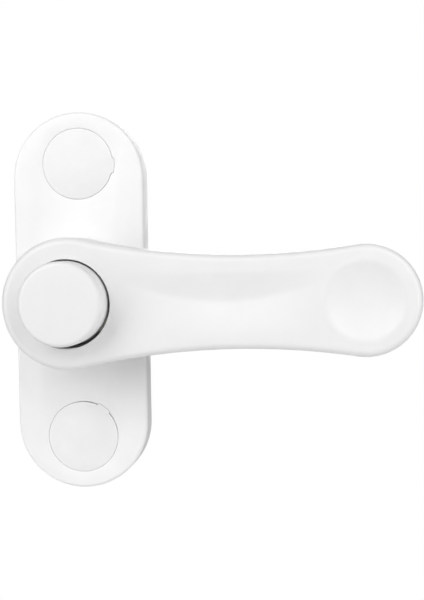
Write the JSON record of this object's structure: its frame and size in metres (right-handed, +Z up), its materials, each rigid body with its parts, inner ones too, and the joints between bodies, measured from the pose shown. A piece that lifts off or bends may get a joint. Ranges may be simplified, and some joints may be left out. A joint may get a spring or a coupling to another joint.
{
  "type": "swing arm latch",
  "caption": "Surface-mounted swing arm latch: stadium base plate with screw caps, push-button head and a waisted arm with a thumb dimple.",
  "frame": {"origin": "centre of the base plate's back face, on the arm's pivot axis, where it meets the frame that it is screwed to", "axes": "+X along the arm at rest (across the base plate), +Y into the wall or frame, +Z up the base plate"},
  "size_m": [0.0761, 0.0391, 0.0716],
  "materials": {
    "white_moulding": "satin white nylon",
    "natural_acetal": "smooth, undyed",
    "zinc_plated_steel": "bright zinc plate",
    "spring_steel": "blued, lightly oiled",
    "turned_brass": "turned",
    "soft_pad": "matt"
  },
  "bodies": {
    "base": {"base_plate": "white_moulding", "backing_plate": "zinc_plated_steel", "pivot_stud": "zinc_plated_steel", "upper_fixing_screw": "zinc_plated_steel", "lower_fixing_screw": "zinc_plated_steel", "upper_screw_cap": "white_moulding", "lower_screw_cap": "white_moulding", "lock_spring": "spring_steel", "bearing_washer": "natural_acetal", "wave_washer": "spring_steel", "retaining_washer": "zinc_plated_steel", "pivot_nut": "zinc_plated_steel"},
    "arm": {"arm": "white_moulding", "lock_plate": "zinc_plated_steel", "pivot_bush": "turned_brass", "button_spring": "spring_steel", "pressure_pad": "soft_pad"},
    "button": {"button_cap": "white_moulding", "release_plunger": "natural_acetal"}
  },
  "joints": [
    {"name": "arm_swing", "type": "hinge", "parent": "base", "child": "arm", "pos_m": [0, 0, 0], "axis": [0, -1, 0], "continuous": true, "deforming": ["lock_spring"]},
    {"name": "button_press", "type": "slide", "parent": "arm", "child": "button", "axis": [0, 1, 0], "range_m": [0, 0.0025], "stiffness_N_per_m": 600, "springref_m": -0.003, "deforming": ["lock_spring", "button_spring"]}
  ]
}
